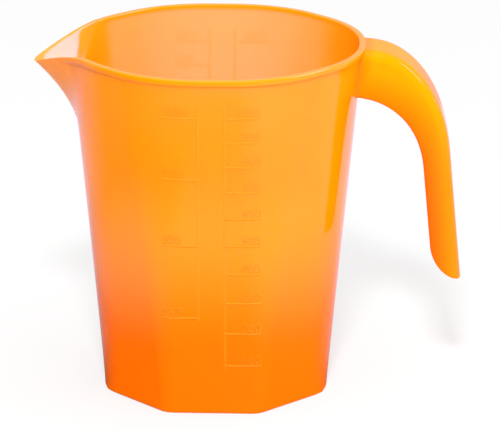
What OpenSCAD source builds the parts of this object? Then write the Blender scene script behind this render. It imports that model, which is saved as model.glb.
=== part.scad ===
// Measuring jug for one litre, moulded in translucent plastic.
// An octagonal base turns almost round at the rim. The beak lies along -X, the hooked handle along +X,
// and a double scale stands proud of the front (-Y) and of the back.
// The origin is the middle of the standing face, and lengths are in millimetres.

/* [Body] */
// Height from the table to the rim
height = 143.5; // [125:0.5:180]
// Width of the wall across its flats at the rim, without the bead
rim_across = 118.5; // [105:0.5:140]
// Width of the wall across its flats at the base
base_across = 91; // [75:0.5:102]
// Thickness of the moulded wall
wall = 1.8; // [1.2:0.1:2.6]
// Number of flat sides at the base
sides = 8; // [4:4:16]
// Corner radius of the base, seen from above
base_corner = 8; // [4:0.5:20]
// Roundness of the outline at the rim: 0 is a sharp polygon, 1 is a circle
rim_roundness = 0.8; // [0.5:0.01:1]

/* [Base] */
// Height of the foot ring, which is the depth of the recess under the floor
foot_height = 2; // [1:0.1:5]
// Width of the foot ring, which carries the wall and the edge of the floor
foot_width = 3; // [2.8:0.1:6]
// Thickness of the floor
floor_thickness = 2.2; // [1.4:0.1:4]

/* [Rim] */
// Height of the bead round the rim
bead_height = 2.6; // [1.6:0.1:5]
// How far the bead stands out from the wall
bead_proud = 1; // [0.6:0.1:2]
// Chamfer on the edges of the bead
bead_edge = 0.5; // [0.1:0.1:0.6]

/* [Spout] */
// How far the tip of the lip reaches out from the wall
spout_reach = 15.5; // [8:0.5:25]
// Depth from the rim to where the keel leaves the wall
spout_depth = 40; // [25:1:60]
// How far the tip of the lip lies below the rim
lip_drop = 8.6; // [2:0.1:14]
// Radius of the lip at its tip, seen from above
lip_radius = 9; // [5:0.5:12]
// Half of the angle that the mouth takes out of the rim
mouth_angle = 31; // [24:1:36]
// Softness of the crease between the flanks of the spout and the wall
flank_blend = 2.5; // [0.5:0.1:4]

/* [Handle] */
// Reach of the handle from the wall at the rim to its free end
handle_reach = 40.8; // [34:0.1:60]
// Height of the free end above the table
handle_end = 45; // [25:1:60]
// Drop from the rim to the top of the handle
handle_step = 0.5; // [0.5:0.1:8]
// Width of the handle at its root
handle_width = 26; // [18:0.5:32]
// Width of the handle at its free end
end_width = 21; // [16:0.5:30]
// Height of the root on the wall
root_height = 19; // [14:0.5:26]
// Depth of the straight grip, from its back to its open edges
grip_depth = 11.3; // [9:0.1:14]
// Angle at which the grip leans out towards its free end
grip_lean = 5.5; // [0:0.5:10]
// Height of the bend along the back of the handle
back_bend = 42; // [30:1:48]
// Height of the bend along the open edges
edge_bend = 30; // [24:1:36]
// Thickness of the back and of the cheeks
handle_wall = 2.2; // [1.6:0.1:3]
// Radius between the back and the cheeks at the root
root_edge = 2.8; // [2.8:0.1:6]
// Radius between the back and the cheeks at the free end
end_edge = 7.5; // [3.2:0.1:8.5]
// Slope at which the round cut of the free end meets the back
end_slope = 22; // [0:1:30]

/* [Scale] */
// How far the marks stand out from the wall
mark_proud = 0.4; // [0.2:0.05:0.8]
// Width of the marks and of their stems
mark_width = 0.9; // [0.5:0.1:1.6]
// Length of the marks
mark_length = 14.5; // [8:0.5:18]
// Distance between the stems of the two columns
stem_gap = 10.5; // [6:0.5:16]
// Rise of the stems above the highest mark
stem_rise = 6; // [2:0.5:10]
// Volume between two marks of the fine column, in millilitres
fine_volume = 100; // [50:10:200]
// Volume between two marks of the coarse column, in millilitres
coarse_volume = 250; // [100:50:500]
// Volume at the highest mark, in millilitres
full_volume = 1000; // [500:50:1000]

/* [Hidden] */
$fn = 96;

plastic = "darkorange";
plastic_light = "orange";
plastic_pale = "sandybrown";

// Clearance between pieces that meet on a curved face
seat = 0.03;
// Half of one side, seen from the middle. A flat lies across each axis
half_side = 180 / sides;
// Directions that the handle, the spout and the front scale face
handle_facing = 0;
spout_facing = 180;
scale_facing = 270;
// Step between the directions in which an outline is sampled
turn = 3.75;
directions = [0:turn:360 - turn];
// Rows of the wall below and beside the spout. Those below it grow from the base by this power
low_rows = 7;
high_rows = 3;
row_growth = 1.5;
// Least radius of a corner inside the wall
least_corner = 1;

wall_top = height - bead_height;
floor_top = foot_height + floor_thickness;
spout_foot = height - spout_depth;
tip_height = height - lip_drop;
// Room beside the mouth, as an angle, in which a flank fades into the wall
flank_fade = 2;
// The spout takes whole steps of the outline out of the wall
spout_sector = ceil((mouth_angle + flank_fade) / turn) * turn;

// Half of the width across the flats
function flat(z) = (base_across + (rim_across - base_across) * z / height) / 2;
// Radius of the corners: a small one at the base, growing soon to a share of the width
base_share = 2 * base_corner / base_across;
function corner(z) = flat(z) * (base_share + (rim_roundness - base_share) * sqrt(z / height));

// Distance from the axis to a rounded polygon in a direction
function polygon_radius(flat, corner, direction) =
    let (
        off = abs((abs(direction) + half_side) % (2 * half_side) - half_side),
        back = half_side - off,
        middle = (flat - corner) / cos(half_side)
    )
    flat * tan(off) <= (flat - corner) * tan(half_side)
        ? flat / cos(off)
        : middle * cos(back) + sqrt(corner ^ 2 - (middle * sin(back)) ^ 2);

// Distance from the axis to the wall, with an inset from its outer face
function wall_radius(direction, z, inset = 0) =
    polygon_radius(flat(z) - inset, max(corner(z) - inset, least_corner), direction);

function polar(direction, radius, z) = [radius * cos(direction), radius * sin(direction), z];

// Outline of the wall as seen from above
function outline(z, inset) = [
    for (d = directions) let (p = polar(d, wall_radius(d, z, inset), z)) [p.x, p.y]
];

// Distance from the axis plane to the sampled wall that faces this way, at an offset along it
face_steps = 12;
function wall_face(facing, offset, z) = lookup(offset, [
    for (i = [-face_steps:face_steps])
        let (d = i * turn, r = wall_radius(facing + d, z))
        [r * sin(d), r * cos(d)]
]);

function mix(a, b, share) = a + (b - a) * share;
function clamp(x) = min(max(x, 0), 1);
function ease(x) = let (t = clamp(x)) t * t * (3 - 2 * t);

// A solid between two grids of points, outside[i][j] and inside[i][j]. Seen from outside, i runs to the
// right and j runs up. Cells that keep marks false are left open. closed joins the last column to the first.
module shell(outside, inside, keep = undef, closed = false) {
    columns = len(outside);
    rows = len(outside[0]);
    cells = closed ? columns : columns - 1;
    function kept(i, j) =
        let (k = closed ? (i + cells) % cells : i)
        k >= 0 && k < cells && j >= 0 && j < rows - 1 && (is_undef(keep) || keep[k][j]);
    function at(i, j) = (i % columns) * rows + j;
    half = columns * rows;
    function two(a, b, c, d) = [[a, b, c], [a, c, d]];
    polyhedron(
        points = [for (side = [outside, inside], column = side) each column],
        faces = [
            for (i = [0:cells - 1], j = [0:rows - 2]) if (kept(i, j))
                let (a = at(i, j), b = at(i + 1, j), c = at(i + 1, j + 1), d = at(i, j + 1))
                each concat(
                    two(a, d, c, b),
                    two(half + a, half + b, half + c, half + d),
                    kept(i, j - 1) ? [] : two(a, b, half + b, half + a),
                    kept(i, j + 1) ? [] : two(c, d, half + d, half + c),
                    kept(i - 1, j) ? [] : two(d, a, half + a, half + d),
                    kept(i + 1, j) ? [] : two(b, c, half + c, half + b)
                )
        ]
    );
}

// Does the cell that starts in this direction belong to the spout?
function at_spout(direction) = abs(direction + turn / 2 - spout_facing) < spout_sector;

module foot_ring() {
    color(plastic)
        linear_extrude(foot_height)
            difference() {
                polygon(outline(foot_height, 0));
                polygon(outline(foot_height, foot_width));
            }
}

module floor_plate() {
    color(plastic)
        translate([0, 0, foot_height])
            linear_extrude(floor_thickness)
                polygon(outline(foot_height, wall + seat));
}

module body_wall() {
    levels = concat(
        [for (i = [0:low_rows]) mix(foot_height, spout_foot, (i / low_rows) ^ row_growth)],
        [for (i = [1:high_rows]) mix(spout_foot, wall_top, i / high_rows)]
    );
    function grid(inset) = [for (d = directions) [for (z = levels) polar(d, wall_radius(d, z, inset), z)]];
    keep = [for (d = directions) [for (j = [0:len(levels) - 2]) j < low_rows || !at_spout(d)]];
    color(plastic) shell(grid(0), grid(wall), keep, closed = true);
}

// Profile of the bead: height above its lower edge, and how far it stands out there
bead_profile = [
    [0, 0],
    [bead_edge, bead_proud],
    [bead_height - bead_edge, bead_proud],
    [bead_height, bead_proud - bead_edge]
];

module rim_bead() {
    function grid(share, inset) = [
        for (d = directions) [
            for (p = bead_profile)
                let (z = wall_top + p[0])
                polar(d, wall_radius(d, z, inset - share * p[1]), z)
        ]
    ];
    keep = [for (d = directions) [for (p = bead_profile) !at_spout(d)]];
    color(plastic_light) shell(grid(1, 0), grid(0, wall), keep, closed = true);
}

// Spout: a beak with a round tip and straight flanks grows out of the wall. Its keel is a parabola.
tip_reach = flat(tip_height) + spout_reach;
rim_radius = flat(height);
// Direction that a flank faces: its line runs from the end of the mouth, at the rim, to the round tip
flank_face =
    let (
        ahead = tip_reach - lip_radius - rim_radius * cos(mouth_angle),
        aside = rim_radius * sin(mouth_angle)
    )
    acos(-lip_radius / norm([ahead, aside])) - atan2(aside, ahead);

// Distance from the axis to the beak, at an angle from its middle, for a tip circle of this centre and radius
function beak(middle, radius, angle) =
    angle <= atan2(radius * sin(flank_face), middle + radius * cos(flank_face))
        ? middle * cos(angle) + sqrt(radius ^ 2 - (middle * sin(angle)) ^ 2)
        : (middle * cos(flank_face) + radius) / cos(angle - flank_face);

// The crease softens from nothing at the foot of the spout to its full width at this share of the depth
blend_rise = 0.33;
least_blend = 0.01;
// Rise of one face over another, softened where they meet
function blend(rise, soft) = rise >= soft ? rise : rise <= -soft ? 0 : (rise + soft) ^ 2 / (4 * soft);

// Distance from the axis to the spout at a share of its depth, with an inset from its outer face
function spout_radius(angle, z, share, inset) =
    let (
        keel_z = mix(spout_foot, tip_height, share),
        keel = flat(keel_z) + spout_reach * share ^ 2,
        slope = 2 * spout_reach * share / (tip_height - spout_foot),
        base = wall_radius(spout_facing + angle, z, inset),
        rise = beak(keel - lip_radius, lip_radius - inset * norm([1, slope]), abs(angle)) - base,
        fade = clamp((spout_sector - abs(angle)) / (spout_sector - mouth_angle)),
        soft = max(flank_blend * min(1, share / blend_rise), least_blend)
    )
    base + fade * blend(rise, soft);

// Height of the lip: it falls from the rim to the tip, steeper and steeper by this power
lip_fall = 1.5;
mouth_x = rim_radius * cos(mouth_angle);
function lip_height(angle) =
    let (x = spout_radius(angle, height, 1, 0) * cos(angle))
    abs(angle) >= mouth_angle
        ? height
        : height - lip_drop * clamp((x - mouth_x) / (tip_reach - mouth_x)) ^ lip_fall;

module spout() {
    columns = 13;
    rows = 10;
    // Columns lie closer together near the tip, down to this share of an even step
    tip_step = 0.45;
    angles = [
        for (i = [-columns:columns]) let (t = i / columns) spout_sector * t * mix(tip_step, 1, abs(t))
    ];
    // The bead runs on along the flanks and fades towards the tip, between these shares of the mouth's angle
    bead_none = 0.42;
    bead_full = 0.83;
    function bead_share(angle) = ease((abs(angle) / mouth_angle - bead_none) / (bead_full - bead_none));
    function column(angle, inset, bead) =
        let (lip = lip_height(angle), top = lip - bead_height)
        [
            for (j = [0:rows - 1])
                let (z = mix(spout_foot, top, j / rows), share = (z - spout_foot) / (lip - spout_foot))
                polar(spout_facing + angle, spout_radius(angle, z, share, inset), z),
            for (p = bead_profile)
                let (
                    z = top + p[0],
                    share = (z - spout_foot) / (lip - spout_foot),
                    proud = bead * bead_share(angle) * p[1]
                )
                polar(spout_facing + angle, spout_radius(angle, z, share, inset) + proud, z)
        ];
    color(plastic_light)
        shell([for (a = angles) column(a, 0, 1)], [for (a = angles) column(a, wall, 0)]);
}

// Handle: a channel that is open towards the jug and at its free end.
// In its side view, the back and the open edges are each a cubic curve and then a straight line.
handle_top = height - handle_step;
edge_root_z = handle_top - root_height;
down = [sin(grip_lean), -cos(grip_lean)];
inward = [-cos(grip_lean), -sin(grip_lean)];
back_end = [rim_radius + handle_reach, handle_end];
edge_end = back_end + grip_depth * inward;
function along_grip(end, z) = end - down * (z - end.y) / cos(grip_lean);
back_shoulder = along_grip(back_end, handle_top - back_bend);
edge_shoulder = along_grip(edge_end, edge_root_z - edge_bend);
back_root = [rim_radius, handle_top];
edge_root = [flat(edge_root_z), edge_root_z];
// Slope of the open edges where they leave the wall
edge_slope = 10;
// Pull of the curves at their two ends, as shares of their width and of their height
back_pull = [0.68, 0.39];
edge_pull = [0.66, 0.48];

function bezier(p, t) =
    p[0] * (1 - t) ^ 3 + p[1] * 3 * t * (1 - t) ^ 2 + p[2] * 3 * t ^ 2 * (1 - t) + p[3] * t ^ 3;
function bend(root, slope, shoulder, pull) = [
    root,
    root + pull[0] * (shoulder.x - root.x) * [1, -tan(slope)],
    shoulder - down * pull[1] * (root.y - shoulder.y),
    shoulder
];
back_curve = bend(back_root, 0, back_shoulder, back_pull);
edge_curve = bend(edge_root, edge_slope, edge_shoulder, edge_pull);

// Stations along the handle: a point on the back, a point on the open edges, and the share of the length
bend_steps = 16;
grip_steps = 4;
// The grip is drawn this far past its end, and then cut
overrun = 4;
function drawn_end(end) = end + down * overrun;
stations = concat(
    [for (i = [0:bend_steps]) let (t = i / bend_steps)
        [bezier(back_curve, t), bezier(edge_curve, t), t / 2]],
    [for (i = [1:grip_steps]) let (t = i / grip_steps)
        [mix(back_shoulder, drawn_end(back_end), t), mix(edge_shoulder, drawn_end(edge_end), t), (1 + t) / 2]]
);
function half_width(s) = mix(handle_width, end_width, s[2]) / 2;
// The edges between the back and the cheeks grow rounder along the handle, and keep this radius inside
inner_edge = 0.3;
function edge_radius(s) = max(mix(root_edge, end_edge, s[2] ^ 2), handle_wall + inner_edge);
function depth(s) = norm(s[1] - s[0]);

// A point of the handle at a station, across its width and down from its back
function at_station(s, across, deep) = let (p = s[0] + (s[1] - s[0]) * deep / depth(s)) [p.x, across, p.y];

// The same at the root, moved to the face of the wall, or to the bead's where its twin on the back reaches it
function at_root(across, deep, twin_deep) =
    let (
        p = at_station(stations[0], across, deep),
        twin_z = at_station(stations[0], across, twin_deep).z,
        proud = twin_z > wall_top ? bead_proud : 0
    )
    [wall_face(handle_facing, across, p.z) + proud + seat, across, p.z];

// One line along the handle: k picks a point of a station's section, which is [across, deep, twin_deep]
function handle_line(section, k) = [
    for (i = [0:len(stations) - 1])
        let (q = section(stations[i])[k])
        i == 0 ? at_root(q[0], q[1], q[2]) : at_station(stations[i], q[0], q[1])
];

// Removes what lies past the round cut at the free end, which runs into the open edges without a corner
module end_cut() {
    end_round = grip_depth / (1 - sin(end_slope));
    middle = back_end - end_round * (inward * sin(end_slope) + down * cos(end_slope));
    translate([middle.x, handle_width, middle.y])
        rotate([90, 0, 0])
            linear_extrude(2 * handle_width)
                rotate(grip_lean)
                    difference() {
                        translate([-2 * end_round, -3 * end_round]) square([4 * end_round, 3 * end_round]);
                        circle(end_round);
                    }
}

// Half of the back's section, from its middle to the seam with a cheek, with an inset from its outer face
corner_steps = 4;
function back_section(s, inset) =
    let (w = half_width(s), e = edge_radius(s))
    [
        for (side = [1, -1], i = [0:corner_steps])
            let (
                turned = 90 * (side > 0 ? i : corner_steps - i) / corner_steps,
                r = e - inset
            )
            [side * (w - e + r * cos(turned)), e - r * sin(turned), e - e * sin(turned)]
    ];

module handle_back() {
    points = 2 * (corner_steps + 1);
    function grid(inset) = [for (k = [0:points - 1]) handle_line(function (s) back_section(s, inset), k)];
    color(plastic_light)
        difference() {
            shell(grid(0), grid(handle_wall));
            end_cut();
        }
}

// A cheek hangs from the back, on the side that is given as 1 or -1
module handle_cheek(side) {
    function section(inset) = function (s)
        let (y = side * (half_width(s) - inset), e = edge_radius(s))
        side < 0 ? [[y, e, e], [y, depth(s), e]] : [[y, depth(s), e], [y, e, e]];
    function grid(inset) = [for (k = [0, 1]) handle_line(section(inset), k)];
    color(plastic)
        difference() {
            shell(grid(0), grid(handle_wall));
            end_cut();
        }
}

// Scales: the height of a mark follows from the volume that the jug holds below it
sharp_area = sides * tan(half_side);
function area(z) = sharp_area * (flat(z) - wall) ^ 2 - (sharp_area - PI) * max(corner(z) - wall, 0) ^ 2;
slices = 24;
// A millilitre in cubic millimetres
millilitre = 1000;
function sum(list, i = 0) = i < len(list) ? list[i] + sum(list, i + 1) : 0;
function volume(z) =
    let (slice = (z - floor_top) / slices)
    slice * sum([for (i = [0.5:slices]) area(floor_top + i * slice)]) / millilitre;
function level(amount, low = floor_top, high = height, tries = 16) =
    let (middle = (low + high) / 2)
    tries == 0 ? middle
        : volume(middle) < amount ? level(amount, middle, high, tries - 1)
        : level(amount, low, middle, tries - 1);
highest_mark = wall_top - mark_width - stem_rise;
function marks(step) = [
    for (v = [step:step:full_volume]) let (z = level(v)) if (z < highest_mark) z
];

// A raised bar on the front wall, between two places across it and two heights. It follows the wall in steps
bar_step = 3;
bar_rise = 12;
module bar(left, right, low, high) {
    steps = ceil((right - left) / bar_step);
    heights = ceil((high - low) / bar_rise);
    function grid(proud) = [
        for (i = [0:steps]) let (x = mix(left, right, i / steps)) [
            for (j = [0:heights])
                let (z = mix(low, high, j / heights))
                [x, -wall_face(scale_facing, x, z) - proud, z]
        ]
    ];
    shell(grid(mark_proud), grid(seat));
}

// A column of the scale: a stem, and marks that run from it to the side given as 1 or -1
module column(step, side) {
    zs = marks(step);
    stem = side * stem_gap / 2;
    half = mark_width / 2;
    color(plastic_pale)
        union() {
            bar(stem - half, stem + half, zs[0] - half, zs[len(zs) - 1] + stem_rise);
            for (z = zs) {
                ends = [stem, stem + side * mark_length];
                bar(min(ends), max(ends), z - half, z + half);
            }
        }
}

module to_rear() {
    rotate(180) children();
}

foot_ring();
floor_plate();  // floor
body_wall();
rim_bead();
spout();
handle_back();
handle_cheek(-1);  // handle_cheek_front
handle_cheek(1);  // handle_cheek_rear
column(fine_volume, 1);  // fine_scale_front
column(coarse_volume, -1);  // coarse_scale_front
to_rear() column(fine_volume, 1);  // fine_scale_rear
to_rear() column(coarse_volume, -1);  // coarse_scale_rear
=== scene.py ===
"""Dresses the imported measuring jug: a glossy translucent moulding on a white studio floor."""

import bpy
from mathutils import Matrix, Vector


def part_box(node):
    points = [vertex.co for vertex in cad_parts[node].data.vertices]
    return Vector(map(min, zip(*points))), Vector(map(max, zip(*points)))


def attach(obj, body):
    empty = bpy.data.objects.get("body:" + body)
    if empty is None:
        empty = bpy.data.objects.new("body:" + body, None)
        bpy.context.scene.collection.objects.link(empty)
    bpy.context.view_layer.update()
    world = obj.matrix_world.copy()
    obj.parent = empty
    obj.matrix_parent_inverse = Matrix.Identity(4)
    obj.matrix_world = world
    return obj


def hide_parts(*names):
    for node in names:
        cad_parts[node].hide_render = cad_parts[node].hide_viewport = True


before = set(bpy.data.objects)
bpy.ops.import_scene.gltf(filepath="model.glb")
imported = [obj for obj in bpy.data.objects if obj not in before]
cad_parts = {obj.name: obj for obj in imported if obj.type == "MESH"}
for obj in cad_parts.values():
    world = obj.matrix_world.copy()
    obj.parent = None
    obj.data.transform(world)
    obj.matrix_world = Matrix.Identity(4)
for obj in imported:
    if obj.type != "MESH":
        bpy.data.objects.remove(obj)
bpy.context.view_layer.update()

import math

import bpy
from bpy.props import FloatProperty, FloatVectorProperty, PointerProperty
from mathutils import Matrix, Vector

bl_info = {
    "name": "Measuring jug",
    "version": (1, 0, 0),
    "blender": (4, 5, 0),
    "location": "View3D > Sidebar > Jug",
    "description": "Models a translucent measuring jug around its packed frame",
    "category": "Object",
}

MM = 0.001
BODY = "root"
SIDES = 8
HALF_SIDE = 180 / SIDES
# Millilitres in the litre that the scale goes up to
LITRE = 1000
# Octants of the outline, counted from the handle: beside the spout, and beside spout and handle
SPOUT_OCTANTS = (3, 4)
SIDE_OCTANTS = (0, 3, 4, 7)
# Vertices along an octant
SPOKES = 48
SPOUT_SPOKES = 96
# Shares of a rounded edge, of a ridge's tip and of the floor's width at which a vertex lies
EDGE_STEPS = (0, 0.06, 0.2, 0.45, 0.75, 1)
TIP_STEPS = (0.02, 0.12, 0.35, 0.7, 1)
FLOOR_STEPS = (0.06, 0.25, 0.5, 0.75)
# Height of a figure in a font of size 1
FIGURE_IN_FONT = 0.73


def linear(hex_colour):
    """An sRGB hex value as linear red, green and blue."""
    channels = [int(hex_colour[i:i + 2], 16) / 255 for i in (0, 2, 4)]
    return tuple(c / 12.92 if c <= 0.04045 else ((c + 0.055) / 1.055) ** 2.4 for c in channels)


def low(node):
    """Lowest corner of a node of the frame."""
    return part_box(node)[0]


def high(node):
    """Highest corner of a node of the frame."""
    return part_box(node)[1]


def plain(name, description, default, **unit):
    return FloatProperty(name=name, description=description, default=default, **unit)


def length(name, description, default, least=0.0):
    return plain(name, description, default, min=least, unit="LENGTH", precision=5)


def point(name, description, default):
    return FloatVectorProperty(name=name, description=description, default=default, size=3, unit="LENGTH")


def colour(name, description, hex_colour):
    return FloatVectorProperty(
        name=name, description=description, default=linear(hex_colour), subtype="COLOR", size=3, min=0, max=1
    )


class JugSizes(bpy.types.PropertyGroup):
    """Sizes of the moulding. Those that the frame shows are taken from it."""

    height: length("Height", "From the table to the rim", high("rim_bead").z)
    foot_height: length("Foot height", "Depth of the recess under the floor", high("foot_ring").z)
    floor_top: length("Floor", "Height of the floor inside", high("floor").z)
    wall_top: length("Wall top", "Height at which the bead starts", high("body_wall").z)
    foot_half: length("Foot half width", "From the axis to a flat at the foot", high("foot_ring").x)
    wall_half: length("Wall half width", "From the axis to a flat below the bead", high("body_wall").y)
    wall: length("Wall", "Thickness of the wall", 1.8 * MM)
    foot_width: length("Foot width", "Width of the foot ring", 3 * MM)
    foot_edge: length("Ring edge", "Radius of the foot ring's inner edges", 0.5 * MM)
    foot_round: length("Foot edge", "Radius of the lower edge", 0.9 * MM)
    floor_round: length("Floor fillet", "Radius between the floor and the wall", 2.5 * MM)
    base_corner: length("Base corner", "Corner radius of the octagon at the base", 8 * MM)
    least_corner: length("Least corner", "Least corner radius inside the wall", 1 * MM)
    rim_roundness: plain("Rim roundness", "0 is an octagon, 1 is a circle", 0.8)
    side_roundness: plain("Side roundness", "The same beside spout and handle", 0.92)
    rim_rise: plain("Rim rise", "Power with which the corners round off upwards", 1.2)
    side_rise: plain("Side rise", "The same beside spout and handle", 0.2)
    bead_proud: length("Bead", "How far the bead stands out from the wall", 1 * MM)
    bead_fillet: length("Bead fillet", "Radius between the wall and the bead", 0.4 * MM)
    bead_under: length("Bead lower edge", "Radius of the bead's lower edge", 0.5 * MM)
    bead_over: length("Bead upper edge", "Radius of the bead's upper edge", 0.9 * MM)
    bead_start: plain("Bead start", "Where the bead starts, as a share of the mouth", 0.42)
    bead_full: plain("Bead full", "Where it has its full size", 0.83)
    rim_inner: length("Inner edge", "Radius of the rim's inner edge", 0.5 * MM)
    rim_band: length("Rim band", "Depth of the band that the bead shows inside", 1.8 * MM)
    spout_foot: length("Spout foot", "Height at which the keel leaves the wall", low("spout").z)
    tip_reach: length("Spout reach", "From the axis to the tip of the lip", -low("spout").x)
    lip_drop: length("Lip drop", "How far the tip lies below the rim", 8.6 * MM)
    lip_bow: plain("Lip bow", "Power with which the lip falls towards its tip", 1.5)
    lip_radius: length("Lip radius", "Radius of the lip at its tip, from above", 9 * MM)
    lip_start: plain("Lip start", "Share of the spout's depth from which its wall slims", 0.72)
    lip_slim: plain("Slim lip", "Share of the wall's thickness that the lip has", 0.5)
    mouth_angle: plain("Mouth", "Half of the angle of the mouth, in degrees", 31)
    mouth_taper: plain("Mouth taper", "0 keeps it as wide down to the foot", 0.25)
    spout_sector: plain("Sector", "Where the flanks end, in degrees", 33.75)
    flank_blend: length("Flank blend", "Softness of the crease beside the spout", 1.2 * MM)
    blend_depth: plain("Blend depth", "Share of the spout's depth at which it is that soft", 1 / 3)


class ThickPlaces(bpy.types.PropertyGroup):
    """Where the plastic of the body is thicker, and where painted shade draws it deeper as if it were
    thicker: 0 is the thin upper wall, 1 is the bead or the foot.
    """

    bead_blend: length("Bead blend", "Height over which the bead thickens", 0.5 * MM)
    foot_from: length("Foot from", "Height up to which the foot is thick", 3 * MM)
    foot_to: length("Foot to", "Height at which that has run out", 12 * MM)
    # Painted shade: the lower wall is drawn deeper and less clear, as if thicker, for the shade towards the
    # base.
    taper: plain("Taper", "Thickness of the lower wall", 0.7)
    taper_from: length("Taper from", "Height up to which the lower wall is that thick", 55 * MM)
    taper_to: length("Taper to", "Height at which that has run out", 105 * MM)
    # Painted shade: the wall beside the handle is drawn deeper and less clear, as if thicker, for the shade
    # of the handle.
    root: plain("Root", "Thickness of the wall at the handle", 0.8)
    root_from: plain("Root from", "Degrees from the handle up to which it is that thick", 12)
    root_to: plain("Root to", "Degrees from the handle at which that has run out", 50)
    # Painted shade: beside the mouth the wall is drawn deeper and less clear, as if thicker, for the shade
    # along the creases of the spout.
    web: plain("Web", "Thickness of the webs beside the mouth", 0.8)
    web_from: plain("Web from", "Where a web starts, as a share of the mouth", 0.52)
    web_full: plain("Web full", "Where it is that thick", 0.72)
    web_fade: plain("Web fade", "Where it starts to thin out", 0.92)
    web_to: plain("Web to", "Where that has run out", 1.27)
    web_depth: plain("Web depth", "Share of the spout's depth at which it is that thick", 0.6)


class HandleSizes(bpy.types.PropertyGroup):
    """Sizes of the hooked channel of the handle."""

    top: length("Top", "Height of the handle's top", high("handle_back").z)
    end_x: length("End", "From the axis to the tip of the free end", high("handle_back").x)
    end_z: length("End height", "Height of the tip of the free end", low("handle_back").z)
    root_width: length("Root width", "Width at the wall", high("handle_back").y - low("handle_back").y)
    end_width: length("End width", "Width at the free end", 21 * MM)
    root_height: length("Root height", "Height of the root on the wall", 19 * MM)
    root_sunk: length("Root sunk", "How deep the root reaches into the wall", 0.6 * MM)
    root_seat: plain("Root seat", "Share of the bend along which the root follows the wall", 0.15)
    root_fillet: length("Root fillet", "Radius between the cheeks and the wall", 2 * MM)
    fillet_inside: length("Inner fillet", "From the back to where the fillet is full inside", 3 * MM)
    # Painted shade: the handle is drawn deeper over this length from the wall, for the shade in the fillet
    # at its root.
    root_shade: length("Root shade", "How far the thicker plastic of the root reaches", 9 * MM)
    root_edge: length("Root edge", "Radius between back and cheeks at the root", 4.2 * MM)
    end_edge: length("End edge", "Radius between back and cheeks at the end", 7.5 * MM)
    edge_over: length("Edge over wall", "What these radii have over the thickness at least", 0.3 * MM)
    wall: length("Wall", "Thickness of the back and the cheeks", 2.2 * MM)
    grip_depth: length("Grip depth", "From the back to the open edges", 11.3 * MM)
    lean: plain("Lean", "Angle at which the grip leans out, in degrees", 5.5)
    end_slope: plain("End slope", "Slope of the cut at the back, in degrees", 22)
    back_bend: length("Back bend", "Height of the bend along the back", 42 * MM)
    back_out: plain("Back out", "How far the back runs straight on from the wall, as a share", 0.68)
    back_up: plain("Back up", "How far it runs straight on from the grip, as a share", 0.39)
    edge_bend: length("Edge bend", "Height of the bend along the open edges", 30 * MM)
    edge_out: plain("Edge out", "How far the edges run straight on from the wall, as a share", 0.66)
    edge_up: plain("Edge up", "How far they run straight on from the grip, as a share", 0.48)
    edge_slope: plain("Edge slope", "Slope of the open edges at the wall, in degrees", 10)


class ScaleSizes(bpy.types.PropertyGroup):
    """Sizes of the raised scale."""

    proud: length("Proud", "How far the marks stand out", 0.4 * MM)
    stem_proud: length("Stem proud", "How far the stems stand out", 0.2 * MM)
    figure_proud: length("Figure proud", "How far the figures stand out", 0.3 * MM)
    sunk: plain("Sunk", "Depth below the wall's face, as a share of what stands out", 0.75)
    width: length("Width", "Width of the marks", 0.9 * MM)
    pitch: length("Pitch", "From one ring of a ridge to the next", 2 * MM)
    figure: length("Figure", "Height of the figures", 3.8 * MM)
    figure_gap: length("Figure gap", "From a mark to its figure", 0.9 * MM)
    lost: plain("Lost", "Litres by which the inside was taken smaller, to fit the marks", 0.015)


class JugColours(bpy.types.PropertyGroup):
    """Colours of the plastic and of the stage."""

    skin: colour("Skin", "What the wall throws back", "FF9200")
    # Painted shade: the deep skin and the deep glow darken the plastic towards the base, where less light
    # reaches.
    skin_deep: colour("Deep skin", "The same near the base", "FF7000")
    glow: colour("Glow", "What comes through the wall", "FFD040")
    glow_deep: colour("Deep glow", "The same near the base", "FFB820")
    tint: colour("Tint", "What is seen straight through the plastic", "FFF8F0")
    # Painted light: the scale is drawn lighter than the wall, for the light that its raised marks catch.
    scale_skin: colour("Scale skin", "What the raised scale throws back", "FFA41C")
    scale_skin_deep: colour("Deep scale skin", "The same near the base", "FF9818")
    handle_skin: colour("Handle skin", "What the handle throws back", "FF9000")
    # Painted light and shade: the handle is drawn lighter towards its top and deeper below the grip, for how
    # the light falls on it.
    handle_skin_deep: colour("Deep handle skin", "The same below the grip", "FF5E00")
    handle_glow: colour("Handle glow", "What comes through the handle", "FFD43C")
    handle_glow_deep: colour("Deep handle glow", "The same below the grip", "FFB010")
    floor: colour("Floor", "Floor that throws light back, on the right", "D8D8D8")
    floor_dark: colour("Dark floor", "Floor that throws light back, on the left", "A0A0A0")
    floor_mirrored: colour("Mirrored floor", "What the gloss mirrors of the floor behind the jug", "FFE0F4")
    floor_shade: colour("Floor shade", "How much of the light on the floor is seen", "808080")
    card: colour("Card", "Colour of the cards that the gloss mirrors", "FFB8FF")


class PlasticLook(bpy.types.PropertyGroup):
    """What the plastic does with light."""

    through: plain("Through", "Share of the milky light that comes through", 0.2)
    layers: plain("Layers", "How many thin faces the thickest plastic counts as", 4)
    wall_clear: plain("Clear wall", "What one face of the wall lets through head on", 0.45)
    handle_clear: plain("Clear handle", "The same for the handle", 0.1)
    scale_clear: plain("Clear scale", "The same for the scale in front", 0.6)
    rear_clear: plain("Clear rear scale", "The same for the scale at the rear", 0.96)
    cloud: length("Cloud", "Size of the patches of more and less gloss", 40 * MM, 1 * MM)
    rough_least: plain("Least roughness", "Where the tool was polished best", 0.06)
    rough_most: plain("Most roughness", "Where it was polished least", 0.14)
    ripple: length("Ripple", "Size of the waves in the skin", 9 * MM, 1 * MM)
    ripple_depth: length("Ripple depth", "Depth of the waves in the skin", 0.3 * MM)
    ripple_strength: plain("Ripple strength", "How much of the waves shows", 0.06)


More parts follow.
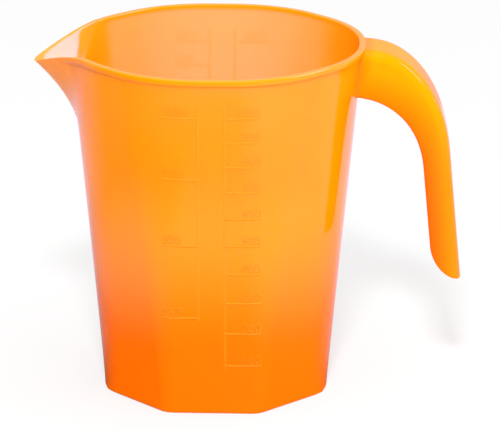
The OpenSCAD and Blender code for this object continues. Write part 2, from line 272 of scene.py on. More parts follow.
class StageSettings(bpy.types.PropertyGroup):
    """The floor, the light and the camera."""

    floor_size: length("Floor", "Width of the floor", 12)
    floor_white: plain("Floor white", "White added to the floor that the camera sees", 0.62)
    light_from: point("Light from", "Direction from which most of the light comes", (0.8, -0.3, 0.52))
    light_least: plain("Least light", "Light from the other side", 0.15)
    light_most: plain("Most light", "Light from there", 1.8)
    key_place: point("Key place", "Place of the lamp that casts the shadow", (0, -1.5, 1.5))
    key_aim: point("Key aim", "What that lamp points at", (0, 0, 0.07))
    key_size: length("Key size", "Width of that lamp", 0.25)
    key_power: plain("Key power", "Power of that lamp", 46, unit="POWER")
    card_power: plain("Card power", "Watts for each square metre of a card", 36)
    card_aim: point("Card aim", "What the cards point at", (-0.06, 0.014, 0.135))
    spout_card: point("Spout card", "Place of the card that the spout mirrors", (1.196, -0.052, 0.952))
    spout_card_size: length("Spout card size", "Width of that card", 0.665)
    crease_card: point("Crease card", "Place of the card that its crease mirrors", (1.33, 0.55, 0.3))
    crease_card_size: length("Crease card size", "Width of that card", 0.16)
    sky_card: point("Sky card", "Place of the card that rim, marks and handle mirror", (0, -0.3, 1.5))
    sky_card_size: length("Sky card size", "Width of that card", 1)
    sky_card_share: plain("Sky card share", "Its power, as a share of the others'", 0.12)
    aim: length("Aim", "Height that the camera aims at", 70.82 * MM)
    distance: length("Distance", "From the camera to its aim", 1.4754)
    turn: plain("Turn", "Camera's angle from the front, in degrees", 2.3)
    rise: plain("Rise", "Camera's angle from the table, in degrees", 17.92)
    sensor: plain("Sensor", "Width of the sensor, in millimetres", 36)
    lens: plain("Lens", "Focal length, in millimetres", 259.4)
    shift_x: plain("Shift across", "Share of the frame's width", 0.0665)
    shift_y: plain("Shift up", "Share of the frame's width", -0.0077)


# Forms of the jug


def clamp(x):
    return min(max(x, 0), 1)


def smooth(x):
    t = clamp(x)
    return t * t * (3 - 2 * t)


def between(value, start, end):
    """0 up to the start and 1 from the end on, with a soft rise."""
    return smooth((value - start) / (end - start))


def mix(a, b, share):
    return a + (b - a) * share


def flat(z):
    """Half of the width across the flats at a height."""
    s = bpy.context.scene.jug_sizes
    return s.foot_half + (s.wall_half - s.foot_half) * (z - s.foot_height) / (s.wall_top - s.foot_height)


def corner(z, beside=False):
    """Radius of the outline's corners at a height. Those beside spout and handle are rounder."""
    s = bpy.context.scene.jug_sizes
    most, power = (s.side_roundness, s.side_rise) if beside else (s.rim_roundness, s.rim_rise)
    return flat(z) * mix(s.base_corner / flat(0), most, clamp(z / s.height) ** power)


def spokes():
    """Places round the outline, counted in octants from the handle. They lie closer beside the spout."""
    counts = [SPOUT_SPOKES if octant in SPOUT_OCTANTS else SPOKES for octant in range(SIDES)]
    return [octant + i / count for octant, count in enumerate(counts) for i in range(count)]


def outline_point(spoke, across, round_corner):
    """A point of a rounded octagon, from above. Half of an octant's spokes lie on its corner."""
    octant, place = divmod(spoke, 1)
    flat_end = 0.25
    middle = across - round_corner
    side = middle * math.tan(math.radians(HALF_SIDE))
    turned = 0.0
    if place <= flat_end:
        x, y = across, side * place / flat_end
    elif place < 1 - flat_end:
        angle = math.radians(2 * HALF_SIDE * (place - flat_end) / (1 - 2 * flat_end))
        x, y = middle + round_corner * math.cos(angle), side + round_corner * math.sin(angle)
    else:
        turned = 2 * HALF_SIDE
        x, y = across, side * (place - 1) / flat_end
    return Matrix.Rotation(math.radians(2 * HALF_SIDE * octant + turned), 2) @ Vector((x, y))


def beak(middle, radius, angle, flank_face):
    """Distance from the axis to the round tip of the beak or to its straight flank."""
    tip_end = math.atan2(radius * math.sin(flank_face), middle + radius * math.cos(flank_face))
    if angle <= tip_end:
        return middle * math.cos(angle) + math.sqrt(radius ** 2 - (middle * math.sin(angle)) ** 2)
    return (middle * math.cos(flank_face) + radius) / math.cos(angle - flank_face)


def softened(rise, soft):
    """Rise of one face over another, softened where they meet."""
    if rise >= soft:
        return rise
    return 0 if rise <= -soft else (rise + soft) ** 2 / (4 * soft)


def spout_radius(base, angle, share, inset):
    """Distance from the axis to the spout at a share of its depth. base is the wall's own there."""
    s = bpy.context.scene.jug_sizes
    least_share, least_blend = 0.001, 0.01 * MM
    tip_height = s.height - s.lip_drop
    reach = s.tip_reach - flat(tip_height)
    keel = flat(mix(s.spout_foot, tip_height, share)) + reach * share ** 2
    slope = 2 * reach * share / (tip_height - s.spout_foot)
    middle = keel - s.lip_radius
    mouth = math.radians(s.mouth_angle) * max(share, least_share) ** s.mouth_taper
    wall = flat(mix(s.spout_foot, s.height, share))
    ahead, aside = middle - wall * math.cos(mouth), wall * math.sin(mouth)
    face = math.acos(-s.lip_radius / math.hypot(ahead, aside)) - math.atan2(aside, ahead)
    slimmed = clamp((share - s.lip_start) / (1 - s.lip_start))
    lean = mix(math.hypot(1, slope * math.cos(face)), s.lip_slim, slimmed)
    rise = beak(middle, s.lip_radius - inset * lean, abs(angle), face) - base
    past = s.spout_sector / s.mouth_angle
    fade = smooth((past - abs(angle) / mouth) / (past - 1))
    blend = s.flank_blend * min(1, share / s.blend_depth)
    return base + fade * softened(rise, max(blend, least_blend))


def lip_height(angle):
    """Height of the lip: it falls from the rim to the tip."""
    s = bpy.context.scene.jug_sizes
    mouth = math.radians(s.mouth_angle)
    if abs(angle) >= mouth:
        return s.height
    mouth_x = flat(s.height) * math.cos(mouth)
    x = spout_radius(flat(s.height), angle, 1, 0) * math.cos(angle)
    return s.height - s.lip_drop * clamp((x - mouth_x) / (s.tip_reach - mouth_x)) ** s.lip_bow


def arc(middle, radius, start, end, steps):
    """Points of an arc in the plane of a profile, as pairs of outward distance and height."""
    angles = [math.radians(mix(start, end, i / steps)) for i in range(steps + 1)]
    return [(middle[0] + radius * math.cos(a), middle[1] + radius * math.sin(a)) for a in angles]


def wall_x(across, z, beside=False):
    """Distance from the axis plane to the wall's outer face, at an offset along it."""
    half, radius = flat(z), corner(z, beside)
    middle = half - radius
    beyond = abs(across) - middle * math.tan(math.radians(HALF_SIDE))
    if beyond <= 0:
        return half
    return middle + math.sqrt(max(radius ** 2 - beyond ** 2, 0))


# Modelling


def pick(*pieces):
    """Leaves object mode on, with these pieces alone selected and the first of them active."""
    if bpy.context.object and bpy.context.object.mode != "OBJECT":
        bpy.ops.object.mode_set(mode="OBJECT")
    bpy.ops.object.select_all(action="DESELECT")
    for piece in pieces:
        piece.select_set(True)
    if pieces:
        bpy.context.view_layer.objects.active = pieces[0]


def sleeve(name, columns, rings):
    """A circle drawn up ring by ring into a sleeve: a vertex's angle is its column, its height its ring."""
    pick()
    bpy.ops.mesh.primitive_circle_add(vertices=columns, radius=1, fill_type="NOTHING")
    piece = bpy.context.object
    piece.name = name
    bpy.ops.object.mode_set(mode="EDIT")
    bpy.ops.mesh.select_all(action="SELECT")
    for _ in range(rings - 1):
        bpy.ops.mesh.extrude_region_move(TRANSFORM_OT_translate={"value": (0, 0, 1)})
    bpy.ops.object.mode_set(mode="OBJECT")
    return piece


def shape_sleeve(piece, columns, spot):
    """Moves each vertex of a sleeve to spot(column, ring), which also gives the plastic's thickness, painted
    shade counted in.
    """
    thick_and_shade = piece.data.attributes.new("thick_and_shade", "FLOAT", "POINT")
    for vertex in piece.data.vertices:
        turn = math.atan2(vertex.co.y, vertex.co.x) / math.tau
        column = round(turn * columns) % columns
        ring = round(vertex.co.z)
        vertex.co, thick_and_shade.data[vertex.index].value = spot(column, ring)


def weld(piece, gap):
    """Joins the vertices of a piece that lie closer than a gap."""
    pick(piece)
    bpy.ops.object.mode_set(mode="EDIT")
    bpy.ops.mesh.select_all(action="SELECT")
    bpy.ops.mesh.remove_doubles(threshold=gap)
    bpy.ops.mesh.normals_make_consistent(inside=False)
    bpy.ops.object.mode_set(mode="OBJECT")


def close_ends(piece):
    """Fills the open ends of a sleeve and points its faces outwards."""
    pick(piece)
    bpy.ops.object.mode_set(mode="EDIT")
    bpy.ops.mesh.select_all(action="DESELECT")
    bpy.ops.mesh.select_mode(type="EDGE")
    bpy.ops.mesh.select_non_manifold()
    bpy.ops.mesh.edge_face_add()
    bpy.ops.mesh.select_all(action="SELECT")
    bpy.ops.mesh.normals_make_consistent(inside=False)
    bpy.ops.object.mode_set(mode="OBJECT")


def finish_piece(piece, material, nodes, smooth_angle=40):
    """Shades a piece, gives it its plastic and puts it in the place of its nodes."""
    pick(piece)
    bpy.ops.object.shade_smooth_by_angle(angle=math.radians(smooth_angle))
    piece.data.materials.clear()
    piece.data.materials.append(material)
    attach(piece, BODY)
    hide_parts(*nodes)


# Materials


def add_node(tree, kind, inputs=None, output=0, **settings):
    """Adds a node with its settings and gives one output. An input takes such an output or a plain value."""
    node = tree.nodes.new("ShaderNode" + kind)
    for key, value in settings.items():
        setattr(node, key, value)
    for key, value in (inputs or {}).items():
        if isinstance(value, bpy.types.NodeSocket):
            tree.links.new(value, node.inputs[key])
        else:
            node.inputs[key].default_value = value
    return node.outputs[output] if node.outputs else None


def new_material(name):
    material = bpy.data.materials.new(name)
    material.use_nodes = True
    material.node_tree.nodes.clear()
    return material, material.node_tree


def translucent_polypropylene(name, skin, glow, reach, lift, clear, shine):
    """Translucent polypropylene, injection moulded in a polished tool.

    A thin wall lets the background through, most of it head on. The rest of it is a milky orange
    that deepens towards the base as painted shade, and the skin is glossy. skin and glow are pairs of
    a deep and a light colour, reach the shares of the height between which the deep one fades, lift how
    much lighter the thin and the thick parts are, with painted shade counted as thick and, on the handle,
    painted light along the back counted as thin, clear what one thin face lets through head on, and shine
    the refractive index behind the gloss.
    """
    s, look = bpy.context.scene.jug_sizes, bpy.context.scene.jug_plastic
    material, tree = new_material(name)
    where = add_node(tree, "TexCoord", output="Object")
    # Painted shade: the colour deepens towards the base and is lighter higher up, where more light falls.
    height = add_node(tree, "SeparateXYZ", {"Vector": where}, "Z")
    span = {"Value": height, "From Min": reach[0] * s.height, "From Max": reach[1] * s.height}
    rise = add_node(tree, "MapRange", span, interpolation_type="SMOOTHSTEP")
    # Painted light and shade: this attribute marks thick plastic, places drawn deeper as painted shade and,
    # on the handle, the back drawn lighter as painted light.
    thick_and_shade = add_node(tree, "Attribute", output="Fac", attribute_name="thick_and_shade")
    lifted = add_node(tree, "MapRange", {"Value": thick_and_shade, "To Min": lift[0], "To Max": lift[1]})
    light = add_node(tree, "Math", {0: rise, 1: lifted}, operation="ADD", use_clamp=True)
    tones = [
        add_node(tree, "Mix", {0: light, 6: (*deep, 1), 7: (*pale, 1)}, 2, data_type="RGBA")
        for deep, pale in (skin, glow)
    ]
    cloud = add_node(tree, "TexNoise", {"Vector": where, "Scale": 1 / look.cloud, "Detail": 2.0}, "Fac")
    polish = {"Value": cloud, "To Min": look.rough_least, "To Max": look.rough_most}
    rough = add_node(tree, "MapRange", polish)
    ripple = add_node(tree, "TexNoise", {"Vector": where, "Scale": 1 / look.ripple, "Detail": 1.0}, "Fac")
    waves = {"Height": ripple, "Strength": look.ripple_strength, "Distance": look.ripple_depth}
    bump = add_node(tree, "Bump", waves)

    milky = {"Base Color": tones[0], "Roughness": rough, "Normal": bump, "Specular IOR Level": 0.0}
    surface = add_node(tree, "BsdfPrincipled", milky)
    beyond = add_node(tree, "BsdfTranslucent", {"Color": tones[1]})
    milk = add_node(tree, "MixShader", {0: look.through, 1: surface, 2: beyond})

    # The thick plastic and the painted shade also let less of the background through.
    layers = add_node(tree, "MapRange", {"Value": thick_and_shade, "To Min": 1.0, "To Max": look.layers})
    slant = add_node(tree, "LayerWeight", {"Blend": 0.5}, "Facing")
    head_on = add_node(tree, "Math", {0: 1.0, 1: slant}, operation="SUBTRACT")
    path = add_node(tree, "Math", {0: layers, 1: head_on}, operation="DIVIDE")
    left = add_node(tree, "Math", {0: clear, 1: path}, operation="POWER")
    window = add_node(tree, "BsdfTransparent", {"Color": (*bpy.context.scene.jug_colours.tint, 1)})
    veil = add_node(tree, "MixShader", {0: left, 1: milk, 2: window})

    mirrored = add_node(tree, "Fresnel", {"IOR": shine, "Normal": bump})
    behind = add_node(tree, "NewGeometry", output="Backfacing")
    front = add_node(tree, "Math", {0: 1.0, 1: behind}, operation="SUBTRACT")
    share = add_node(tree, "Math", {0: mirrored, 1: front}, operation="MULTIPLY")
    gloss = add_node(tree, "BsdfGlossy", {"Color": (1, 1, 1, 1), "Roughness": rough, "Normal": bump})
    whole = add_node(tree, "MixShader", {0: share, 1: veil, 2: gloss})
    add_node(tree, "OutputMaterial", {"Surface": whole})
    return material


def wall_plastic():
    """The thin plastic of the wall: a bright orange haze with the far side showing through it."""
    c, look = bpy.context.scene.jug_colours, bpy.context.scene.jug_plastic
    return translucent_polypropylene(
        "translucent_polypropylene_wall", (c.skin_deep, c.skin), (c.glow_deep, c.glow),
        # Painted shade: reach deepens the lower wall, and lift deepens the thick plastic and the painted
        # shade that the attribute marks.
        reach=(0.08, 0.62), lift=(0, -0.2), clear=look.wall_clear, shine=1.5,
    )


def scale_plastic(name, clear):
    """The raised plastic of a scale, drawn lighter than the wall as painted light: fine lines of light,
    which show less the clearer they are.
    """
    c = bpy.context.scene.jug_colours
    return translucent_polypropylene(
        name, (c.scale_skin_deep, c.scale_skin), (c.glow_deep, c.glow),
        # Painted light: lift 0.3 draws the whole scale lighter.
        reach=(0.08, 0.62), lift=(0.3, 0.3), clear=clear, shine=1.4,
    )


def handle_plastic():
    """The thicker plastic of the handle: a fuller orange, with painted light that makes it golden along the
    back and towards the top, and painted shade that deepens it towards the open edges and the root.
    """
    c, look = bpy.context.scene.jug_colours, bpy.context.scene.jug_plastic
    return translucent_polypropylene(
        "translucent_polypropylene_handle",
        (c.handle_skin_deep, c.handle_skin), (c.handle_glow_deep, c.handle_glow),
        # Painted light and shade: reach lightens the handle towards its top, lift 0.78 makes the back golden
        # and -0.12 deepens the open edges and the root.
        reach=(0.55, 1.28), lift=(0.78, -0.12), clear=look.handle_clear, shine=1.2,
    )


# Pieces


class JugBody(bpy.types.Operator):
    """Models the wall, floor, foot, rim and spout as one moulded shell"""

    bl_idname = "jug.body"
    bl_label = "Body"

    def profile(self):
        """Outward distance, height and scale along a cut from the underside's middle to the floor's."""
        s = bpy.context.scene.jug_sizes
        rows, band_rows, crowded = 40, 4, 1.3
        inner, edge = -s.foot_width, s.foot_edge
        wall_end, under_end = s.wall_top - s.bead_fillet, s.wall_top + s.bead_under
        rim_end, band_end = s.height - s.rim_inner, s.height - s.rim_band
        floor_end = s.floor_top + s.floor_round
        under = [(inner - edge, s.foot_height, share) for share in FLOOR_STEPS]
        foot = arc((inner - edge, s.foot_height - edge), edge, 90, 0, steps=3)
        foot += arc((inner + edge, edge), edge, 180, 270, steps=3)
        foot += arc((-s.foot_round, s.foot_round), s.foot_round, 270, 360, steps=6)
        wall = [(0, mix(s.foot_round, wall_end, (i / rows) ** crowded)) for i in range(1, rows)]
        bead = arc((s.bead_fillet, wall_end), s.bead_fillet, 180, 90, steps=3)
        bead += arc((s.bead_proud - s.bead_under, under_end), s.bead_under, 270, 360, steps=4)
        bead += arc((s.bead_proud - s.bead_over, s.height - s.bead_over), s.bead_over, 0, 90, steps=6)
        rim = arc((s.rim_inner - s.wall, rim_end), s.rim_inner, 90, 180, steps=4)
        inside = [(-s.wall, mix(rim_end, band_end, i / band_rows)) for i in range(1, band_rows + 1)]
        inside += [(-s.wall, mix(band_end, floor_end, i / rows)) for i in range(1, rows)]
        fillet = arc((-s.wall - s.floor_round, floor_end), s.floor_round, 0, -90, steps=5)
        floor = [(*fillet[-1], share) for share in reversed(FLOOR_STEPS)]
        return under + [(out, z, 1) for out, z in foot + wall + bead + rim + inside + fillet] + floor

    def execute(self, context):
        s, thick_and_shade = context.scene.jug_sizes, context.scene.jug_thick
        profile, around = self.profile(), spokes()
        sector, mouth = math.radians(s.spout_sector), math.radians(s.mouth_angle)
        band_end = s.height - s.rim_band

        def bead_share(angle):
            """How much of the bead is left, from the axis of the spout outwards."""
            return between(abs(angle) / mouth, s.bead_start, s.bead_full)

        def foot_print(column, ring):
            """A vertex from above as if there were no spout, with its angle from the spout."""
            out, z, scale = profile[ring]
            inset = max(-out, 0)
            beside = int(around[column]) in SIDE_OCTANTS
            round_corner = max(corner(z, beside) - inset, s.least_corner)
            at = outline_point(around[column], flat(z) - inset, round_corner) * scale
            return at, math.atan2(-at.y, -at.x)

        def thickness(out, z, angle):
            """Thickness of the plastic at an angle from the spout, with painted shade counted in as
            thickness.
            """
            start = band_end if out <= -s.wall else s.wall_top + s.bead_under
            bead = between(z, start, start + thick_and_shade.bead_blend) * bead_share(angle)
            foot = 1 - between(z, thick_and_shade.foot_from, thick_and_shade.foot_to)
            # Painted shade counted as thickness: the lower wall, the wall beside the handle and the wall
            # beside the mouth.
            taper = thick_and_shade.taper * (1 - between(z, thick_and_shade.taper_from, thick_and_shade.taper_to))
            from_handle = 180 - abs(math.degrees(angle))
            root = thick_and_shade.root * (1 - between(from_handle, thick_and_shade.root_from, thick_and_shade.root_to))
            aside = abs(angle) / mouth
            web = thick_and_shade.web * between(aside, thick_and_shade.web_from, thick_and_shade.web_full)
            web *= 1 - between(aside, thick_and_shade.web_fade, thick_and_shade.web_to)
            web *= between((z - s.spout_foot) / (s.height - s.spout_foot), 0, thick_and_shade.web_depth)
            return max(bead, foot, taper, root, web)

        def spot(column, ring):
            """A vertex, with the thickness of the plastic there, painted shade counted in."""
            out, z, _ = profile[ring]
            at, angle = foot_print(column, ring)
            plastic = thickness(out, z, angle)
            radius, proud = at.length, max(out, 0)
            if abs(angle) < sector and z > s.spout_foot:
                proud *= bead_share(angle)
                share = (z - s.spout_foot) / (s.height - s.spout_foot)
                z = mix(s.spout_foot, lip_height(angle), share)
                radius = spout_radius(radius, angle, share, max(-out, 0))
            at *= (radius + proud) / at.length
            return Vector((at.x, at.y, z)), plastic

        body = sleeve("moulded_body", len(around), len(profile))
        shape_sleeve(body, len(around), spot)
        close_ends(body)
        finish_piece(
            body, wall_plastic(),
            ["foot_ring", "floor", "body_wall", "rim_bead", "spout"],
        )
        return {"FINISHED"}


def round_off(share):
    """Half thickness of a rounded edge, at a share of its depth from the very edge."""
    power = 2.4
    return (1 - (1 - clamp(share)) ** power) ** (1 / power)


class JugHandle(bpy.types.Operator):
    """Models the hooked handle, a channel that is open towards the jug and at its free end"""

    bl_idname = "jug.handle"
    bl_label = "Handle"

    def side_view(self):
        """Lays out the back and the open edges in the side view: each a cubic bend and a straight grip."""
        s, h = bpy.context.scene.jug_sizes, bpy.context.scene.jug_handle
        lean = math.radians(h.lean)
        self.down = Vector((math.sin(lean), -math.cos(lean)))
        self.inward = Vector((-math.cos(lean), -math.sin(lean)))
        self.back_end = Vector((h.end_x, h.end_z))

        def bend(root, slope, end, height, out, up):
            """A bend from a root on the wall to a shoulder this much lower, on the line of the grip."""
            shoulder = end - self.down * (root.y - height - end.y) / math.cos(lean)
            leaving = Vector((1, -math.tan(math.radians(slope))))
            return [
                root,
                root + leaving * out * (shoulder.x - root.x),
                shoulder - self.down * up * (root.y - shoulder.y),
                shoulder,
            ]

        back_root = Vector((flat(s.height), h.top))
        self.back_curve = bend(back_root, 0, self.back_end, h.back_bend, h.back_out, h.back_up)
        edge_end = self.back_end + self.inward * h.grip_depth
        edge_root_z = h.top - h.root_height
        edge_root = Vector((flat(edge_root_z), edge_root_z))
        self.edge_curve = bend(edge_root, h.edge_slope, edge_end, h.edge_bend, h.edge_out, h.edge_up)

    def bend_point(self, curve, t):
        """A point of a cubic bend."""
        return (
            curve[0] * (1 - t) ** 3 + curve[1] * 3 * t * (1 - t) ** 2
            + curve[2] * 3 * t ** 2 * (1 - t) + curve[3] * t ** 3
        )

    def cut_point(self, share):
        """Where the round cut of the free end meets the line at this share of the depth."""
        h = bpy.context.scene.jug_handle
        slope = math.radians(h.end_slope)
        radius = h.grip_depth / (1 - math.sin(slope))
        deep = share * h.grip_depth
        reach = min(deep + radius * math.sin(slope), radius)
        up = radius * math.cos(slope) - math.sqrt(radius ** 2 - reach ** 2)
        return self.back_end + self.inward * deep - self.down * up

    def line_point(self, station, share):
        """A point in the side view: a station is a place on the bend, on the grip or near the cut."""
        h = bpy.context.scene.jug_handle
        kind, t = station
        if kind == "bend":
            return self.bend_point(self.back_curve, t).lerp(self.bend_point(self.edge_curve, t), share)
        start = self.back_curve[-1].lerp(self.edge_curve[-1], share)
        end = self.cut_point(share)
        if kind == "cut":
            return end - self.down * t * h.wall / 2
        return start.lerp(end - self.down * h.wall / 2, t)

    def section(self):
        """Keys of the channel's section, from one open edge over the back to the other, and back inside."""
        cheek_steps, corner_steps, back_steps = 7, 8, 6
        half = [("lip", step) for step in EDGE_STEPS]
        half += [("cheek", i / cheek_steps) for i in range(1, cheek_steps + 1)]
        half += [("corner", 90 * i / corner_steps) for i in range(1, corner_steps + 1)]
        half += [("back", i / back_steps) for i in range(1, back_steps)]
        keys = [(1, key) for key in half] + [(1, ("back", 1))] + [(-1, key) for key in reversed(half)]
        outside = [(side, key, 1) for side, key in keys]
        inside = [(side, key, -1) for side, key in reversed(keys[1:-1])]
        return outside + inside

    def execute(self, context):
        h = context.scene.jug_handle
        self.side_view()
        bend_rings, grip_rings, crowded = 56, 22, 1.5
        stations = [("bend", (i / bend_rings) ** crowded) for i in range(bend_rings + 1)]
        stations += [("grip", i / grip_rings) for i in range(1, grip_rings + 1)]
        stations += [("cut", step) for step in reversed(EDGE_STEPS[:-1])]
        keys = self.section()
        half = h.wall / 2

        def spot(column, ring):
            """A vertex. Its plastic is drawn lighter along the back as painted light, and deeper towards the
            open edges and at the root as painted shade.
            """
            side, (part, value), face = keys[column]
            station = stations[ring]
            kind, t = station
            share = {"bend": t / 2, "grip": (1 + t) / 2, "cut": 1}[kind]
            half_wide = mix(h.root_width, h.end_width, share) / 2
            edge = max(mix(h.root_edge, h.end_edge, share ** 2), h.wall + h.edge_over)
            deep = h.grip_depth
            flare, near = 0, 0
            if kind == "bend":
                deep = (self.line_point(station, 1) - self.line_point(station, 0)).length
                gone = (self.line_point(station, 0.5) - self.line_point(stations[0], 0.5)).length
                left = max(h.root_fillet - gone, 0)
                flare = h.root_fillet - math.sqrt(h.root_fillet ** 2 - left ** 2)
                # Painted shade: the plastic is drawn deeper near the root, for the shade in the fillet where
                # it meets the wall.
                near = 1 - smooth(gone / h.root_shade)
            thin = round_off(t) if kind == "cut" else 1
            tip = deep + flare
            if part == "lip":
                down = tip - value * half
                across = half_wide - half + face * half * round_off(value) * thin
                across += face * flare * round_off(value)
            elif part == "cheek":
                down = mix(tip - half, edge, value)
                across = half_wide - half + face * half * thin
                across += face * flare * (1 if face > 0 else smooth((down - edge) / h.fillet_inside))
            elif part == "corner":
                angle = math.radians(value)
                radius = edge - half + face * half * thin
                if face > 0:
                    radius += flare * math.cos(angle) ** 2
                across = half_wide - edge + radius * math.cos(angle)
                down = edge - radius * math.sin(angle)
            else:
                across = mix(half_wide - edge, 0, value)
                down = half - face * half * thin
            across *= side
            x, z = self.line_point(station, down / deep)
            if kind == "bend":
                first = self.line_point(stations[0], down / deep)
                seat = wall_x(across, first.y, beside=True) - h.root_sunk - first.x
                x += seat * (1 - smooth(t / h.root_seat))
            # Painted light and shade: the back lighter, the open edges and the root deeper.
            return Vector((x, across, z)), max(clamp(down / deep), near)

        handle = sleeve("moulded_handle", len(keys), len(stations))
        shape_sleeve(handle, len(keys), spot)
        weld(handle, gap=0.002 * MM)
        close_ends(handle)
        finish_piece(
            handle, handle_plastic(),
            ["handle_back", "handle_cheek_front", "handle_cheek_rear"],
        )
        return {"FINISHED"}


# Scale


def inner_area(z):
    """Area of the inside at a height."""
    s = bpy.context.scene.jug_sizes
    sharp = SIDES * math.tan(math.radians(HALF_SIDE))
    return sharp * (flat(z) - s.wall) ** 2 - (sharp - math.pi) * (corner(z) - s.wall) ** 2


def level(litres):
    """Height of a volume, counted from the floor upwards."""
    s = bpy.context.scene.jug_sizes
    slices = 400
    step = (s.height - s.floor_top) / slices
    held = -bpy.context.scene.jug_scale.lost * MM
    for i in range(slices):
        layer = inner_area(s.floor_top + (i + 0.5) * step) * step
        if held + layer >= litres * MM:
            return s.floor_top + (i + (litres * MM - held) / layer) * step
        held += layer
    raise ValueError("the jug doesn't hold this volume")


class JugScale(bpy.types.Operator):
    """Models the two columns of the raised scale, with their figures, on the front and on the back"""

    bl_idname = "jug.scale"
    bl_label = "Scale"

    def ridge(self, start, end, proud):
        """A softly rounded ridge on the front wall, between two places given as x and z."""
        m = bpy.context.scene.jug_scale
        start, end = Vector(start), Vector(end)
        along = (end - start).normalized()
        beside = Vector((-along.y, along.x))
        reach = (end - start).length
        half = m.width / 2
        tips = [step * half for step in TIP_STEPS]
        steps = max(int((reach - 2 * half) / m.pitch), 1)
        middle = [mix(half, reach - half, i / steps) for i in range(1, steps)]
        runs = tips + middle + [reach - tip for tip in reversed(tips)]
        columns = 12

        def spot(column, ring):
            """A vertex, which counts as thin plastic."""
            run = runs[ring]
            share = math.sqrt(max(1 - max(1 - min(run, reach - run) / half, 0) ** 2, 0))
            angle = math.tau * column / columns
            at = start + along * run + beside * half * share * math.cos(angle)
            lift = math.sin(angle)
            out = proud * share * (lift if lift > 0 else lift * m.sunk)
            return Vector((at.x, -wall_x(at.x, at.y) - out, at.y)), 0

        piece = sleeve("ridge", columns, len(runs))
        shape_sleeve(piece, columns, spot)
        close_ends(piece)
        return piece

    def figure(self, text, x, z, side):
        """A raised figure on the front wall. Its outer end is at x."""
        m = bpy.context.scene.jug_scale
        pick()
        bpy.ops.object.text_add(location=(0, 0, 0))
        piece = bpy.context.object
        piece.data.body = text
        piece.data.size = m.figure / FIGURE_IN_FONT
        piece.data.align_x = "RIGHT" if side > 0 else "LEFT"
        piece.data.extrude = m.proud / 2
        piece.data.resolution_u = 4
        bpy.ops.object.convert(target="MESH")
        for vertex in piece.data.vertices:
            at = Vector((x + vertex.co.x, z + vertex.co.y))
            out = m.figure_proud if vertex.co.z > 0 else -m.figure_proud
            vertex.co = Vector((at.x, -wall_x(at.x, at.y) - out, at.y))
        weld(piece, gap=0.001 * MM)
        return piece

    def column(self, name, node, step, side):
        """One column: a stem, marks that run from it to one side, and a figure over each mark."""
        m = bpy.context.scene.jug_scale
        near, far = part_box(node)
        stem_x = near.x + m.width / 2 if side > 0 else far.x - m.width / 2
        mark_x = far.x if side > 0 else near.x
        pieces = [self.ridge((stem_x, near.z), (stem_x, far.z), m.stem_proud)]
        for volume in range(step, LITRE + 1, step):
            z = level(volume / LITRE)
            pieces.append(self.ridge((stem_x, z), (mark_x, z), m.proud))
            pieces.append(self.figure(str(volume), mark_x, z + m.figure_gap, side))
        pick(*pieces)
        bpy.ops.object.join()
        pieces[0].name = name
        return pieces[0]

    def execute(self, context):
        look = context.scene.jug_plastic
        front_plastic = scale_plastic("translucent_polypropylene_scale", look.scale_clear)
        rear_plastic = scale_plastic("translucent_polypropylene_far_scale", look.rear_clear)
        for kind, step, side in (("fine", 100, 1), ("coarse", 250, -1)):
            front = self.column(f"{kind}_marks_front", f"{kind}_scale_front", step, side)
            pick(front)
            bpy.ops.object.duplicate()
            rear = context.object
            rear.name = f"{kind}_marks_rear"
            bpy.ops.transform.rotate(value=math.pi, orient_axis="Z", center_override=(0, 0, 0))
            bpy.ops.object.transform_apply(location=True, rotation=True, scale=True)
            finish_piece(front, front_plastic, [f"{kind}_scale_front"])
            finish_piece(rear, rear_plastic, [f"{kind}_scale_rear"])
        return {"FINISHED"}


